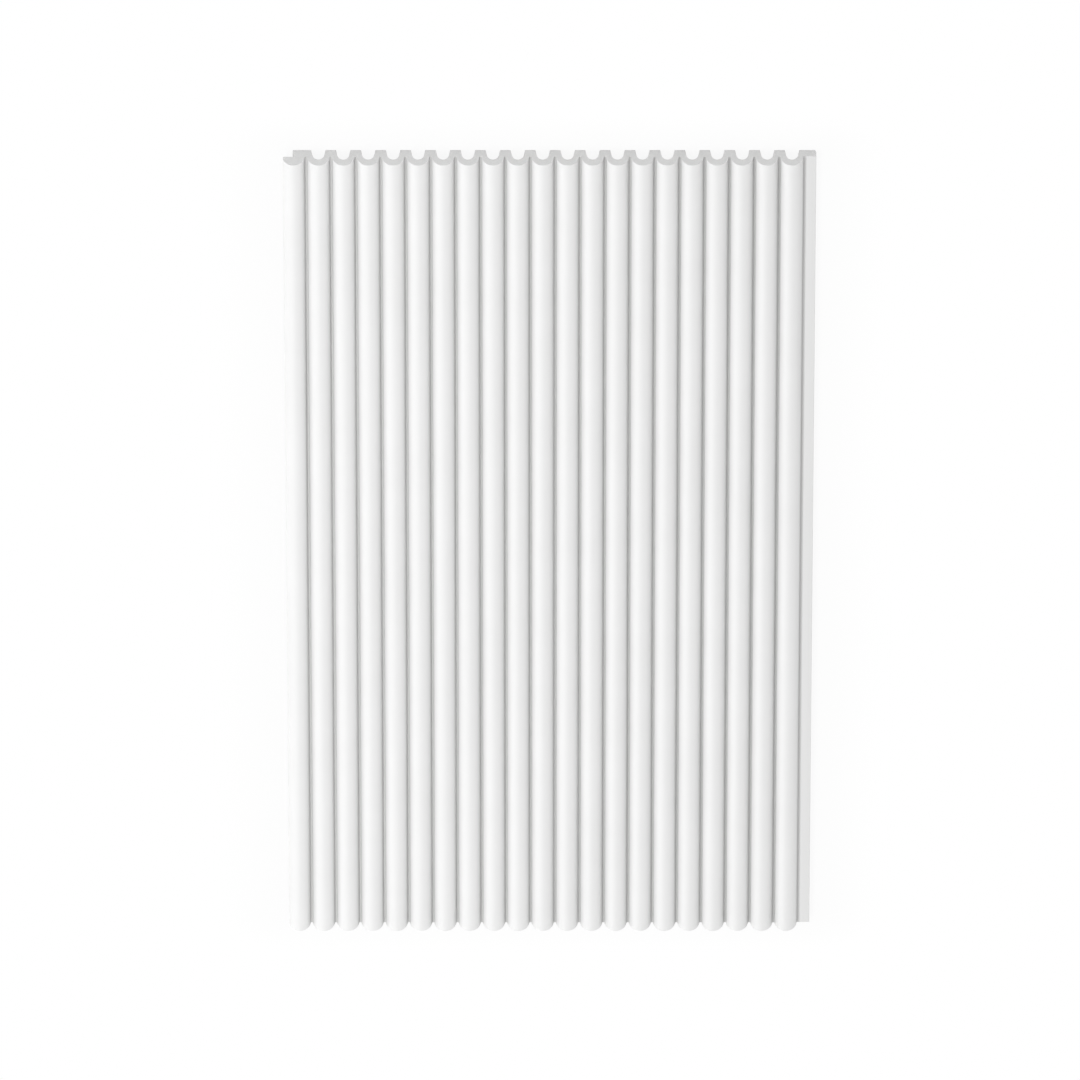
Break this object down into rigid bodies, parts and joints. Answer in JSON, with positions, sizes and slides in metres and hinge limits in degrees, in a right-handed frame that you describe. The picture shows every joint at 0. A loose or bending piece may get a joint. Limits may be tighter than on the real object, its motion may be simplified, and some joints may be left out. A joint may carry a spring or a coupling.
{
  "type": "fluted wall panel",
  "caption": "Fluted wall panel: half-round reeds along its face, open channels along its back, and a lap joint of lip and tongue on its long edges.",
  "frame": {"origin": "middle of the panel's box, on the plane of its back", "axes": "+Y along the reeds, +Z out of the fluted face, +X from the lip towards the tongue"},
  "size_m": [0.4076, 1.2, 0.0138],
  "materials": {
    "primed_polymer": "smooth white primer over dense polymer foam, satin on the face and matt on the sawn ends"
  },
  "bodies": {
    "root": {"fluted_panel": "primed_polymer"}
  },
  "joints": []
}
